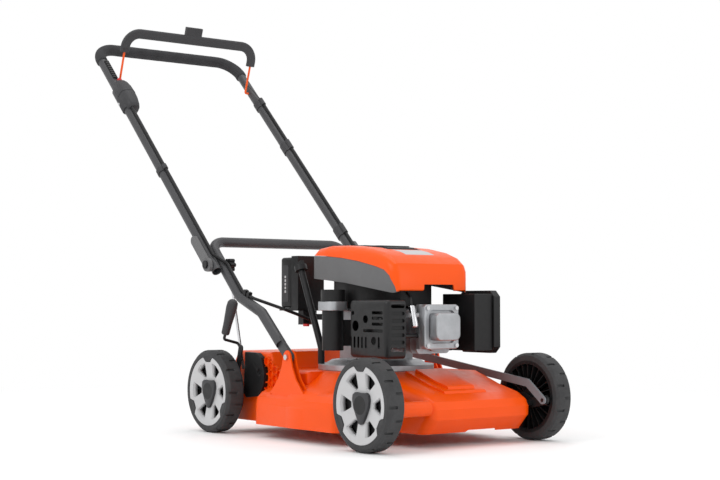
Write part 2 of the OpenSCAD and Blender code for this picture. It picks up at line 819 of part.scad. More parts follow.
// Faceted lid on the left of the air-filter box.
module filter_cover() {
  x0 = filter_at[0] - 5;
  x1 = filter_at[0] + filter_size[0] + 6;
  z0 = filter_at[2] - 6;
  z1 = filter_at[2] + filter_size[2] + 8;
  y0 = filter_at[1] + filter_size[1] + 0.3;
  corner = 14;
  color(black) difference() {
    side_plate(y0, y0 + 20) polygon([
      [x0 + corner, z0], [x1 - corner, z0], [x1, z0 + corner], [x1, z1 - corner], [x1 - corner, z1],
      [x0 + corner, z1], [x0, z1 - corner], [x0, z0 + corner]]);
    translate([x0 + 8, y0 - 1, z0 + 16]) cube([x1 - x0 - 16, 17, z1 - z0 - 32]);
  }
}

// ---- Rotor ----

flywheel_z = 308;

module crankshaft() {
  color(steel) translate([engine_x, 0, blade_z + blade_t]) cylinder(h = flywheel_z + 22 - blade_z - blade_t, r = shaft_r);
}

module flywheel() {
  fin_count = 12;
  color(alloy) translate([engine_x, 0, flywheel_z]) difference() {
    union() {
      cylinder(h = 10, r = flywheel_d / 2);
      for (i = [0 : fin_count - 1])
        rotate(i * 360 / fin_count) translate([flywheel_d / 2 - 26, -1.5, 9]) cube([24, 3, 12]);
    }
    translate([0, 0, -1]) cylinder(h = 60, r = shaft_r);
  }
}

module blade() {
  half = cut_d / 2;
  color(dark_grey) translate([engine_x, 0, blade_z]) difference() {
    linear_extrude(blade_t) polygon([
      [-half, -26], [-half + 120, -28], [half - 2, -28], [half - 8, 20], [half - 120, 28], [2 - half, 28],
      [8 - half, -20]]);
    translate([0, 0, -1]) cylinder(h = 10, r = 5);
  }
}

module blade_bolt() {
  color(steel) translate([engine_x, 0, blade_z]) {
    translate([0, 0, -8]) cylinder(h = 8, r = 9, $fn = 6);
    cylinder(h = blade_t, r = 5);
  }
}

// ---- Upper handle ----

upper_path = [across(up_tube(-24), -upper_y), across(up_tube(upper_len), -upper_y),
  across(up_tube(upper_len), upper_y), across(up_tube(-24), upper_y)];
grip_path = [across(up_tube(grip_start), -upper_y), upper_path[1], upper_path[2],
  across(up_tube(grip_start), upper_y)];
handle_side = [sin(handle_angle), 0, cos(handle_angle)];

module upper_handle() {
  color(dark_grey) difference() {
    tube(upper_path, bar_bend_r);
    both_sides() cross_bar(joint, upper_y - 20, upper_y + 20, joint_bolt_d / 2 + run_gap);
    both_sides() cross_bar(bail_pivot, upper_y - 20, upper_y - 4, bail_rod_r + run_gap);
  }
}

module foam_grip() {
  color(dark_grey) difference() {
    rod(grip_path, bar_bend_r, grip_d / 2);
    rod(grip_path, bar_bend_r, tube_r + 0.1);
  }
}

bracket_t = 9;

// Saddle outside each joint, under the bolt's head.
module joint_brackets() {
  y0 = upper_y + tube_r + 0.01;
  color(dark_grey) both_sides() difference() {
    union() {
      flat_bar(y0, y0 + bracket_t, up_tube(-8), up_tube(88), 12);
      cross_bar(joint, y0, y0 + bracket_t, 17);
    }
    cross_bar(joint, y0 - 1, y0 + bracket_t + 1, joint_bolt_d / 2 + run_gap);
  }
}

// Six-lobed star knob on the inner end of the joint bolt, with the bolt itself.
module knob() {
  lobe_count = 6;
  knob_r = 17;
  knob_t = 15;
  knob_y = lower_y - tube_r - 2;
  bolt_out = upper_y + tube_r + bracket_t + 0.3;
  color(black) translate(across(joint, knob_y)) rotate([90, 0, 0]) {
    linear_extrude(knob_t) {
      circle(knob_r * 0.72);
      for (i = [0 : lobe_count - 1])
        rotate(i * 360 / lobe_count) translate([knob_r * 0.72, 0]) circle(knob_r * 0.3);
    }
  }
  color(steel) {
    cross_bar(joint, knob_y - 0.01, bolt_out, joint_bolt_d / 2);
    cross_bar(joint, bolt_out, bolt_out + 5, 10);
  }
}

module left_knob() knob();
module right_knob() mirror([0, 1, 0]) knob();

// A C-clip round a tube, at t up the handle.
module tube_clip(t, side, length) {
  clip_t = 2.5;
  frame_at(across(up_tube(t), side * upper_y), handle_side, across(unit(up_tube(1) - joint), 0))
    linear_extrude(length) {
      difference() {
        union() {
          circle(tube_r + clip_t);
          translate([cable_off, 0]) circle(4 + clip_t);
        }
        circle(tube_r);
        translate([cable_off, 0]) circle(4);
      }
    }
}

module cable_clips() {
  color(dark_grey) {
    tube_clip(482, 1, 34);
    tube_clip(120, 1, 34);
    tube_clip(350, -1, 16);
    tube_clip(684, 1, 26);
  }
}

cable_r = 3.9;
cable_off = tube_r + 4.6;

// The engine lead on the right tube and the brake cable on the left one, with its bare inner wire.
module upper_cables() {
  color(black) {
    rod([across(up_tube(pod_t + 5, cable_off), -upper_y), across(up_tube(24, cable_off), -upper_y)], 20, cable_r);
    rod([across(up_tube(712, cable_off), upper_y), across(up_tube(24, cable_off), upper_y)], 20, cable_r);
  }
  color(steel)
    rod([across(on_bail(24), bail_y + 5), across(up_tube(712, cable_off), upper_y)], 20, 1);
}

leg_run = unit(leg_dip - leg_knee);
leg_up = [-leg_run[1], leg_run[0]];
tube_up = [sin(handle_angle), cos(handle_angle)];
// A point on the cable's line, t down the leg from its knee.
function beside_leg(t) = leg_knee + t * leg_run + cable_off * leg_up;
over_knee = leg_knee + cable_off / (1 + leg_up * tube_up) * (leg_up + tube_up);

// The same two cables below the joint: the lead ends in the battery socket, the brake cable at the block.
module lower_cables() {
  socket_x = battery_at[0] + battery_size[0] + 24.3;
  color(black) {
    rod([across(up_tube(-20, cable_off), -lower_y), across(over_knee, -lower_y),
         across(beside_leg(56), -lower_y), [-452, -150, 300],
         [-436, -62, 268], [socket_x, -62, 268]], 12, cable_r);
    rod([across(up_tube(-20, cable_off), lower_y), across(over_knee, lower_y), [-470, 150, 330],
         [-400, 50, 285],
         [engine_x - block_half, 50, 285]], 12, cable_r);
  }
}

// Two clips that hold the lead on the right leg.
module lower_clips() {
  clip_len = 9;
  color(black)
    for (t = [20, 36])
      frame_at(across(leg_knee + (t - clip_len / 2) * leg_run, -lower_y), across(leg_up, 0), across(leg_run, 0))
        linear_extrude(clip_len) difference() {
          translate([tube_r - 1, -5]) square([14, 10]);
          circle(tube_r + 0.6);
          translate([cable_off, 0]) circle(cable_r + 0.3);
        }
}

pod_t = 612;
pod_len = 118;

// Start-control housing clamped on the right tube.
module control_pod() {
  color(mid_grey) frame_at(across(up_tube(pod_t), -upper_y), handle_side, across(unit(up_tube(1) - joint), 0))
    difference() {
      union() {
        translate([8, 8, 0]) linear_extrude(pod_len - 18) rounded_square([52, 48], 12);
        translate([8, 8, pod_len - 18]) linear_extrude(18) rounded_square([40, 36], 12);
      }
      translate([0, 0, -1]) cylinder(h = pod_len + 2, r = tube_r);
      translate([18, 8, pod_len - 10]) cylinder(h = 30, r = 6.3);
      translate([cable_off, 0, -1]) cylinder(h = 6, r = cable_r + 1);
    }
}

module start_button() {
  color("red") frame_at(across(up_tube(pod_t), -upper_y), handle_side, across(unit(up_tube(1) - joint), 0))
    translate([18, 8, pod_len - 5]) cylinder(h = 12, r = 6);
}

// ---- Bail ----

module bail_bar() {
  cover_path = [across(on_bail(81), -bail_y), across(on_bail(bail_len), -bail_y),
    across(on_bail(bail_len), bail_y), across(on_bail(81), bail_y)];
  bail_side = [-sin(bail_lean), 0, cos(bail_lean)];
  color(dark_grey) difference() {
    union() {
      sweep(cover_path, 42, 6.5, bail_side) rounded_square([27, 13], 6);
      frame_at(across(on_bail(bail_len + 10), 0), bail_side, [cos(bail_lean), 0, sin(bail_lean)])
        translate([-5, -26, 0]) cube([10, 52, 26]);
    }
    both_sides() rod([across(on_bail(80), bail_y), across(on_bail(94), bail_y)], 1, bail_rod_r);
  }
}

module bail_rods() {
  color(orange) both_sides()
    rod([across(on_bail(94), bail_y), across(bail_pivot, bail_y), across(bail_pivot, upper_y - tube_r + 7)], 5, bail_rod_r);
}

// ---- Draw ----

module placed() {
  translate([-origin_x, 0, 0]) children();
}

placed() deck();
placed() adjuster_cover();
placed() handle_stay();
placed() fixed_bolts();
placed() lower_handle();
placed() lower_cables();
placed() lower_clips();
placed() engine_base();
placed() cylinder_block();  // cylinder
placed() valve_cover();
placed() spark_plug();
placed() muffler();
placed() muffler_guard();
placed() blower_housing();
placed() top_cover();
placed() cover_vent();
placed() side_panels();
placed() fuel_tank();
placed() fuel_cap();
placed() starter_motor();
placed() oil_tube();
placed() oil_cap();
placed() battery_mount();
placed() battery();
placed() carburettor();
placed() filter_box();
placed() filter_element();
placed() filter_cover();
placed() crankshaft();
placed() flywheel();
placed() blade();
placed() blade_bolt();
placed() rear_axle();
placed() front_axle();
placed() height_link();
placed() height_lever();
placed() lever_grip();
placed() upper_handle();
placed() foam_grip();
placed() joint_brackets();
placed() left_knob();
placed() right_knob();
placed() cable_clips();
placed() control_pod();
placed() start_button();
placed() upper_cables();
placed() bail_bar();
placed() bail_rods();
for (end = ["front", "rear"], side = ["right", "left"]) {
  corner = str(end, "_", side);
  placed() at_wheel(side, end) tyre();
  placed() at_wheel(side, end) wheel();
  placed() at_wheel(side, end) rim();
}
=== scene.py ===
# %% [markdown]
# # A push lawn mower
# The mower is a pressed steel deck on four plastic wheels, with a small petrol engine on top
# and a folding tube handle behind. The CAD frame already has every piece at its real size, so
# this lesson adds what CAD leaves out: soft edges, moulded and pressed shapes, and finishes.

import json
import math

import bmesh
import bpy
from mathutils import Matrix, Vector

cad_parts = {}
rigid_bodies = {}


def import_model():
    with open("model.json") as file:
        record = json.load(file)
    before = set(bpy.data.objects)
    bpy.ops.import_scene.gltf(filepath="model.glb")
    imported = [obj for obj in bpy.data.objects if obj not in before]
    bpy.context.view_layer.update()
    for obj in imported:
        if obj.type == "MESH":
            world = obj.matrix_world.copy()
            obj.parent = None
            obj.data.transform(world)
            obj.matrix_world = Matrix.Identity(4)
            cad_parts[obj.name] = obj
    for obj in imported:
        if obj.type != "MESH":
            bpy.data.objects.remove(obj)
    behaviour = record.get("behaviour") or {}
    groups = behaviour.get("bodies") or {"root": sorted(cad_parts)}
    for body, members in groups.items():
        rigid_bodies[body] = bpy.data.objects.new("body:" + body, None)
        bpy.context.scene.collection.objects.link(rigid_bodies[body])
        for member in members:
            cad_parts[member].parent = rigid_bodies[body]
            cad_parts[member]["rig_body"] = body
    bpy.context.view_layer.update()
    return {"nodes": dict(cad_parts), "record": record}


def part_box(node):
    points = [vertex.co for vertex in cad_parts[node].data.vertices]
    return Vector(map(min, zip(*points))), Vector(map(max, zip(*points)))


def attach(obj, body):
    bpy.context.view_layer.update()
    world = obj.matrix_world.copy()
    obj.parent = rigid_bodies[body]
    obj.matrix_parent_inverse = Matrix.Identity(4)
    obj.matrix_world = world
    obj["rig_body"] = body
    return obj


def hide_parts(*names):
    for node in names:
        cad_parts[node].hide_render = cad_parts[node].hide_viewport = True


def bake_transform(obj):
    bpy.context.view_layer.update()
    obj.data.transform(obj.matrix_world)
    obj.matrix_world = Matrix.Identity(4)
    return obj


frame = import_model()
nodes = frame["nodes"]
MM = 0.001
print("CAD nodes:", len(nodes))

# %% [markdown]
# ## Camera
# A long lens, low beside the right front corner, shows the mower almost without distortion.

# %% Camera
camera_data = bpy.data.cameras.new("camera")
camera_data.sensor_width = 36
camera_data.lens = 72.8
camera = bpy.data.objects.new("camera", camera_data)
camera.location = (3.0561, -2.1244, 0.3194)
yaw = math.radians(142.806)
pitch = math.radians(2.404)
look = Vector((math.cos(yaw) * math.cos(pitch), math.sin(yaw) * math.cos(pitch), math.sin(pitch)))
camera.rotation_euler = look.to_track_quat("-Z", "Y").to_euler()
bpy.context.scene.collection.objects.link(camera)
bpy.context.scene.camera = camera
bpy.context.scene.view_settings.view_transform = "Standard"
print("camera looks along", [round(v, 3) for v in look])

# %% [markdown]
# ## Studio
# A white floor under a white sky, with three large soft lights. The big panels give the long
# soft highlights that show the curve of painted steel.

# %% Studio
world = bpy.data.worlds.new("studio")
world.use_nodes = True
sky = world.node_tree.nodes["Background"]
sky.inputs["Color"].default_value = (1, 1, 1, 1)
sky.inputs["Strength"].default_value = 1.0
bpy.context.scene.world = world


def soft_light(name, place, target, size, power):
    """A square area light that faces a target."""
    data = bpy.data.lights.new(name, "AREA")
    data.shape = "SQUARE"
    data.size = size
    data.energy = power
    light = bpy.data.objects.new(name, data)
    light.location = place
    light.rotation_euler = (Vector(target) - Vector(place)).to_track_quat("-Z", "Y").to_euler()
    bpy.context.scene.collection.objects.link(light)


soft_light("key", (0.6, -2.8, 2.4), (0, 0, 0.3), 1.6, 24)
soft_light("front", (3.2, 1.2, 1.5), (0, 0, 0.3), 1.2, 10)
soft_light("top", (-0.3, 0.2, 3.2), (0, 0, 0.3), 1.6, 14)

# %% [markdown]
# ## Finishes
# Every real surface varies: paint is a little uneven, moulded plastic has a fine grain, and
# cast metal is rough. One recipe makes all of them. A large noise shifts the colour, a second
# one shifts the gloss, and a small one becomes a bump. Only the numbers differ.


# %% The finish recipe
def linear(red, green, blue):
    """The linear colour of a screen colour given in 0 to 255."""
    return tuple(
        c / 12.92 if c <= 0.04045 else ((c + 0.055) / 1.055) ** 2.4
        for c in (red / 255, green / 255, blue / 255)
    )


def noise(tree, coordinates, scale, detail=3.0):
    """A noise pattern of the given scale, as one value."""
    node = tree.nodes.new("ShaderNodeTexNoise")
    node.inputs["Scale"].default_value = scale
    node.inputs["Detail"].default_value = detail
    tree.links.new(coordinates, node.inputs["Vector"])
    return node.outputs["Fac"]


def spread(tree, factor, low, high):
    """Turns a noise, which stays near its middle, into a value between low and high."""
    node = tree.nodes.new("ShaderNodeMapRange")
    node.inputs["From Min"].default_value = 0.3
    node.inputs["From Max"].default_value = 0.7
    node.inputs["To Min"].default_value = low
    node.inputs["To Max"].default_value = high
    tree.links.new(factor, node.inputs["Value"])
    return node.outputs["Result"]


def finish(name, colour, gloss, metallic=0.0, blotch=0.08, blotch_scale=9, grain=900,
           grain_depth=0.00004, pattern="noise", coat=0.0, stretch=None, shine=0.3):
    """A finish: colour, a pair of roughness limits, and the grain's size and depth in metres."""
    material = bpy.data.materials.new(name)
    material.use_nodes = True
    tree = material.node_tree
    shader = tree.nodes["Principled BSDF"]
    shader.inputs["Metallic"].default_value = metallic
    shader.inputs["Specular IOR Level"].default_value = shine
    shader.inputs["Coat Weight"].default_value = coat
    shader.inputs["Coat Roughness"].default_value = 0.12
    coordinates = tree.nodes.new("ShaderNodeTexCoord").outputs["Object"]
    fine = coordinates
    if stretch:
        mapping = tree.nodes.new("ShaderNodeMapping")
        mapping.inputs["Scale"].default_value = stretch
        tree.links.new(coordinates, mapping.inputs["Vector"])
        fine = mapping.outputs["Vector"]
    mix = tree.nodes.new("ShaderNodeMix")
    mix.data_type = "RGBA"
    mix.inputs["A"].default_value = (*[c * (1 - blotch) for c in colour], 1)
    mix.inputs["B"].default_value = (*[min(1, c * (1 + blotch)) for c in colour], 1)
    tree.links.new(spread(tree, noise(tree, coordinates, blotch_scale), 0, 1), mix.inputs["Factor"])
    tree.links.new(mix.outputs["Result"], shader.inputs["Base Color"])
    rough = spread(tree, noise(tree, fine, blotch_scale * 7, 5), *gloss)
    tree.links.new(rough, shader.inputs["Roughness"])
    if pattern == "cells":
        cells = tree.nodes.new("ShaderNodeTexVoronoi")
        cells.inputs["Scale"].default_value = grain
        tree.links.new(fine, cells.inputs["Vector"])
        height = cells.outputs["Distance"]
    else:
        height = noise(tree, fine, grain, 2)
    bump = tree.nodes.new("ShaderNodeBump")
    bump.inputs["Strength"].default_value = 0.6
    bump.inputs["Distance"].default_value = grain_depth
    tree.links.new(height, bump.inputs["Height"])
    tree.links.new(bump.outputs["Normal"], shader.inputs["Normal"])
    return material


# %% The finishes
finishes = {
    "deck_orange": finish("deck_orange", (0.86, 0.080, 0.0), (0.30, 0.42), blotch=0.03,
                          grain=260, grain_depth=0.00005, coat=0.08, shine=0.2),
    "cowl_orange": finish("cowl_orange", (0.88, 0.085, 0.0), (0.30, 0.42), blotch=0.025,
                          grain=700, grain_depth=0.00003, coat=0.05, shine=0.2),
    "tube_grey": finish("tube_grey", linear(64, 64, 66), (0.38, 0.52), blotch=0.08,
                        grain=1400, grain_depth=0.00004, coat=0.1),
    "black_plastic": finish("black_plastic", linear(24, 24, 25), (0.36, 0.52), blotch=0.15,
                            grain=1300, grain_depth=0.00007, pattern="cells"),
    "grey_plastic": finish("grey_plastic", linear(98, 98, 99), (0.46, 0.60), blotch=0.05,
                           grain=1300, grain_depth=0.00007, pattern="cells"),
    "dark_plastic": finish("dark_plastic", linear(56, 56, 58), (0.45, 0.60), blotch=0.08,
                           grain=1300, grain_depth=0.00007, pattern="cells"),
    "rim_grey": finish("rim_grey", linear(186, 186, 187), (0.40, 0.52), blotch=0.03,
                       grain=1200, grain_depth=0.00005, pattern="cells"),
    "tyre": finish("tyre", linear(58, 58, 59), (0.62, 0.80), blotch=0.16, blotch_scale=30,
                   grain=1100, grain_depth=0.0001),
    "foam": finish("foam", linear(54, 54, 56), (0.82, 0.95), blotch=0.12, blotch_scale=40,
                   grain=700, grain_depth=0.0003, pattern="cells"),
    "cast_alloy": finish("cast_alloy", linear(172, 174, 177), (0.36, 0.56), metallic=0.85,
                         blotch=0.12, blotch_scale=25, grain=900, grain_depth=0.00022),
    "bright_steel": finish("bright_steel", linear(208, 208, 210), (0.20, 0.34), metallic=1.0,
                           blotch=0.10, blotch_scale=20, grain=500, grain_depth=0.00002,
                           stretch=(1, 1, 14)),
    "black_steel": finish("black_steel", linear(26, 26, 27), (0.34, 0.50), blotch=0.12,
                          grain=800, grain_depth=0.00006, coat=0.1),
    "link_steel": finish("link_steel", linear(118, 120, 124), (0.40, 0.55), metallic=0.0,
                         blotch=0.10, grain=700, grain_depth=0.00005),
    "rod_orange": finish("rod_orange", (0.80, 0.09, 0.0), (0.34, 0.46), blotch=0.04,
                         grain=900, grain_depth=0.00004, coat=0.2),
    "button_red": finish("button_red", linear(196, 30, 26), (0.30, 0.42), blotch=0.05,
                         grain=900, grain_depth=0.00003),
}
slot_of = {row["node"]: row["material_slot"] for row in frame["record"]["subparts"]}
for name, node in nodes.items():
    node.data.materials.clear()
    node.data.materials.append(finishes[slot_of[name]])
nodes["muffler"].data.materials[0] = finishes["black_steel"]  # given the dark black_steel finish in place of its CAD finish
print("finishes:", len(finishes))

# %% [markdown]
# ## Tools for making pieces
# `keep` turns a bmesh into a finished piece. `softened` copies a CAD node and rounds its edges,
# because no moulded or pressed part has a knife edge, and the thin highlight along a rounded
# edge is what makes it look real.


# %% Keeping a piece
def finished_object(name, bm, slot, smooth=None):
    """An object with its finish, made from a bmesh. Edges sharper than smooth degrees stay crisp."""
    bmesh.ops.recalc_face_normals(bm, faces=bm.faces)
    mesh = bpy.data.meshes.new(name)
    bm.to_mesh(mesh)
    bm.free()
    mesh.polygons.foreach_set("use_smooth", [True] * len(mesh.polygons))
    if smooth is not None:
        mesh.set_sharp_from_angle(angle=math.radians(smooth))
    mesh.materials.append(finishes[slot])
    piece = bpy.data.objects.new(name, mesh)
    bpy.context.scene.collection.objects.link(piece)
    print(f"{name}: {len(mesh.polygons)} faces")
    return piece


def keep(name, bm, slot, body, replaced=(), smooth=30, bevel=0.0, segments=2, bevel_angle=30):
    """Makes a piece, rounds its edges by bevel metres and lets it ride on its body."""
    piece = finished_object(name, bm, slot, smooth)
    if bevel:
        rounding = piece.modifiers.new("rounding", "BEVEL")
        rounding.width = bevel
        rounding.segments = segments
        rounding.limit_method = "ANGLE"
        rounding.angle_limit = math.radians(bevel_angle)
        rounding.harden_normals = True
    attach(piece, body)
    if replaced:
        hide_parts(*replaced)
    return piece


def merged_copy(node):
    """A CAD node's mesh as a bmesh, with its loose triangles joined into flat faces."""
    bm = bmesh.new()
    bm.from_mesh(nodes[node].data)
    bmesh.ops.remove_doubles(bm, verts=bm.verts, dist=2e-6)
    bmesh.ops.dissolve_limit(bm, angle_limit=math.radians(0.6), verts=bm.verts, edges=bm.edges)
    return bm


def softened(node, width, segments=2, smooth=35, bevel_angle=35):
    """A copy of a CAD node with its edges rounded by width, in millimetres."""
    return keep(node + "_soft", merged_copy(node), slot_of[node], nodes[node]["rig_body"], (node,),
                smooth, width * MM, segments, bevel_angle)


# %% Rounding what the CAD made sharp
edge_widths = {
    "adjuster_cover": 2.5, "engine_base": 1.5, "cylinder": 0.6, "starter_motor": 2.5,
    "battery_mount": 3, "fuel_cap": 1.5, "oil_cap": 1.2,
    "carburettor": 1.5, "filter_box": 1.5, "joint_brackets": 2, "height_link": 0.8,
    "cable_clips": 0.6, "blade": 0.6, "cover_vent": 0.5, "blower_housing": 1.2, "lower_clips": 0.8,
    "left_knob": 1.2, "right_knob": 1.2, "bail_bar": 2.5, "filter_cover": 3, "height_lever": 0.4,
    "lever_grip": 2,
}
for node, width in edge_widths.items():
    softened(node, width)
for corner in ("front_right", "front_left", "rear_right", "rear_left"):
    softened(corner + "_tyre", 1.0)
    softened(corner + "_wheel", 0.6)
print("softened nodes:", len(edge_widths) + 8)

# %% [markdown]
# ## Solids and Booleans
# A pressed deck is a few big smooth forms that run into each other. Modelling it as one net of
# faces is slow to plan. It is easier to make each form as a rounded solid, join them with exact
# Booleans, and then take away the same forms made one wall thickness smaller.

# %% Solids
AXLE_X = sum(c.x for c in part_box("front_right_rim")) / 2
DECK_WALL = 3


def at(x, y, z):
    """A point in metres, from millimetres measured from the front wheels' axis."""
    return Vector((AXLE_X + x * MM, y * MM, z * MM))


def prism(outline, start, end, across="Y", round_ends=0, round_sides=0, segments=4):
    """Extrudes an outline along X, Y or Z, and rounds its end edges and its long edges."""
    place = {
        "X": lambda u, v: at(start, u, v),
        "Y": lambda u, v: at(u, start, v),
        "Z": lambda u, v: at(u, v, start),
    }[across]
    step = Vector([(end - start) * MM if axis == across else 0 for axis in "XYZ"])
    bm = bmesh.new()
    face = bm.faces.new([bm.verts.new(place(u, v)) for u, v in outline])
    new = bmesh.ops.extrude_face_region(bm, geom=[face])["geom"]
    bmesh.ops.translate(bm, vec=step, verts=[v for v in new if isinstance(v, bmesh.types.BMVert)])
    bmesh.ops.recalc_face_normals(bm, faces=bm.faces)
    way = step.normalized()
    for radius, along in ((round_sides, True), (round_ends, False)):
        if radius:
            edges = [
                e for e in bm.edges
                if (abs((e.verts[0].co - e.verts[1].co).normalized().dot(way)) > 0.99) == along
                and e.is_manifold and e.calc_face_angle() > math.radians(12)
            ]
            if not along:
                edges = [e for e in edges
                         if abs(abs((e.verts[0].co - place(*outline[0])).dot(way)) - step.length / 2)
                         > step.length / 2 - 1e-5]
            bmesh.ops.bevel(bm, geom=edges, offset=radius * MM, segments=segments, profile=0.5,
                            affect="EDGES", clamp_overlap=True, material=-1)
    return bm


def spun(profile, center, axis=(0, 0, 1), steps=96, across=(1, 0, 0)):
    """Spins a closed profile of (radius, height) points round an axis through a point."""
    bm = bmesh.new()
    out = Vector(across)
    up = Vector(axis)
    verts = [bm.verts.new(center + out * r * MM + up * h * MM) for r, h in profile]
    edges = [bm.edges.new((a, b)) for a, b in zip(verts, verts[1:])]
    if min(profile[0][0], profile[-1][0]) > 0:
        edges.append(bm.edges.new((verts[-1], verts[0])))
    bmesh.ops.spin(bm, geom=verts + edges, cent=center, axis=up, angle=math.tau, steps=steps,
                   use_merge=True)
    bmesh.ops.remove_doubles(bm, verts=bm.verts, dist=1e-6)
    bmesh.ops.recalc_face_normals(bm, faces=bm.faces)
    return bm


def cylinder(radius, low, high, center, axis=(0, 0, 1), steps=96, across=(1, 0, 0)):
    """A round solid from low to high along an axis through a point."""
    return spun([(0, low), (radius, low), (radius, high), (0, high)], center, axis, steps, across)


def absorb(whole, part):
    """Adds the faces of one bmesh to another without a Boolean. The part is used up."""
    mesh = bpy.data.meshes.new("part")
    part.to_mesh(mesh)
    part.free()
    whole.from_mesh(mesh)
    bpy.data.meshes.remove(mesh)


def combine(base, tool, operation):
    """Joins or cuts two bmesh solids, and returns the result. Both inputs are used up."""
    made = []
    for bm in (base, tool):
        mesh = bpy.data.meshes.new("solid")
        bm.to_mesh(mesh)
        bm.free()
        made.append(bpy.data.objects.new("solid", mesh))
        bpy.context.scene.collection.objects.link(made[-1])
    cut = made[0].modifiers.new("cut", "BOOLEAN")
    cut.operation = operation
    cut.solver = "EXACT"
    cut.object = made[1]
    graph = bpy.context.evaluated_depsgraph_get()
    result = bmesh.new()
    result.from_mesh(made[0].evaluated_get(graph).to_mesh())
    for solid in made:
        bpy.data.meshes.remove(solid.data)
    return result


def union(first, *others):
    """Joins any number of solids into one."""
    for other in others:
        first = combine(first, other, "UNION")
    return first


def cut(solid, *tools):
    """Takes every tool away from a solid."""
    for tool in tools:
        solid = combine(solid, tool, "DIFFERENCE")
    return solid


print("front wheels' axis at x =", round(AXLE_X, 4), "m")

# %% [markdown]
# ## Deck
# The nose slopes up from a crisp front panel, the cutting chamber is a round dome, the sides
# run straight between the wheels, and the rear tunnel stands higher. Two pairs of ears hold the
# handle. Wide roundings where each form ends give the pressed look.

# %% Deck forms
ENGINE_X = -285
FRONT_ROD_X = 30
REAR_ROD_X = -585
ROD_Z = 88
ROD_HOLE_R = 7
TUNNEL_Y = 187  # half the width of the raised rear tunnel
EAR_FACES = ((206.2, 210.2), (219.8, 223.8))  # inner and outer face of the two plates
EAR_TOP = [(-318, 190), (-321, 198), (-327, 204), (-333, 206), (-339, 204), (-345, 198), (-348, 190)]
EAR = [(-405, 104), (-262, 104), (-276, 118), (-297, 140), (-312, 168), *EAR_TOP,
       (-354, 168), (-368, 140), (-388, 118)]


def deck_forms(inset):
    """The deck's four main forms, each made smaller by the wall thickness."""
    i = inset
    nose = prism([(14 - i, 0), (14 - i, 30), (44 - i, 62), (45 - i, 84), (36 - i, 101 - i),
                  (10 - i, 115 - i), (-50, 130 - i), (-130, 157 - i), (i - 260, 157 - i), (i - 260, 0)],
                 i - 106, 193 - i, round_ends=26 - i, segments=6)
    dome = spun([(0, 0), (238 - i, 0), (238 - i, 76), (234 - i, 82), (232 - i, 96), (224 - i, 108 - i / 2),
                 (208 - i, 117 - i), (186, 127 - i), (165, 141 - i), (152, 152 - i), (140, 158 - i),
                 (0, 158 - i)], at(ENGINE_X, 0, 0))
    side = [(235 - i, 0), (235 - i, 80), (231 - i, 94 - i / 2), (219, 106 - i), (198, 115 - i),
            (168, 122 - i)]
    sides = prism(side + [(-y, z) for y, z in reversed(side)], i - 460, -125 - i, "X",
                  round_ends=22 - i, segments=5)
    tunnel = prism([(i - 640, 0), (i - 640, 140), (i - 602, 198 - i), (-456 - i, 198 - i),
                    (-440 - i, 157 - i), (-300 - i, 157 - i), (-300 - i, 0)],
                   i - TUNNEL_Y, TUNNEL_Y - i, round_ends=9 - i, segments=3)
    return union(dome, nose, sides, tunnel)


deck = deck_forms(0)
for side in (1, -1):
    for near, far in EAR_FACES:
        deck = union(deck, prism(EAR, side * near, side * far))
    deck = union(deck, prism([(-398, 60), (-268, 60), (-274, 112), (-392, 112)],
                             side * 180, side * EAR_FACES[1][1], round_sides=6))
deck = union(
    deck,
    prism([(-138, 140), (-130, 161.5), (-50, 135), (4, 121.5), (14, 106), (-60, 118)], -36, 86,
          round_sides=3),
    prism([(-127, 148), (-120, 165.5), (-50, 141), (-10, 131), (1, 112), (-60, 120)], -14, 64,
          round_sides=4),
)
deck = cut(deck, deck_forms(DECK_WALL))
axle_tunnel = cylinder(17, 0, 84, at(FRONT_ROD_X, -188, ROD_Z), (0, 1, 0), 32, (0, 0, 1))
deck = union(deck, axle_tunnel)
print("deck faces before the cuts:", len(deck.faces))

# %% Deck cuts and finish
deck = cut(
    deck,
    prism([(-900, -60), (300, -60), (300, 30), (-900, 30)], -400, 400),
    prism([(8, 20), (22, 34.5), (104, 34.5), (118, 20)], 0, 60, "X"),
    cylinder(37, 0, 40, at(ENGINE_X, 0, 138), steps=48),
    *[cylinder(ROD_HOLE_R, -300, 300, at(x, 0, ROD_Z), (0, 1, 0), 24)
      for x in (FRONT_ROD_X, REAR_ROD_X)],
    *[cylinder(4, 0, 30, at(-333, y, 190), (0, 1, 0), 24) for y in (-230, 200)],
)
keep("deck_pressing", deck, "deck_orange", "chassis", ("deck",), smooth=28, bevel=1.2 * MM, segments=2,
     bevel_angle=38)

# %% [markdown]
# ## Honeycomb ribs
# The tunnel's two sides are stiffened by a net of six-sided ribs. They stand less proud than
# the height link beside them, so the link swings past without touching.

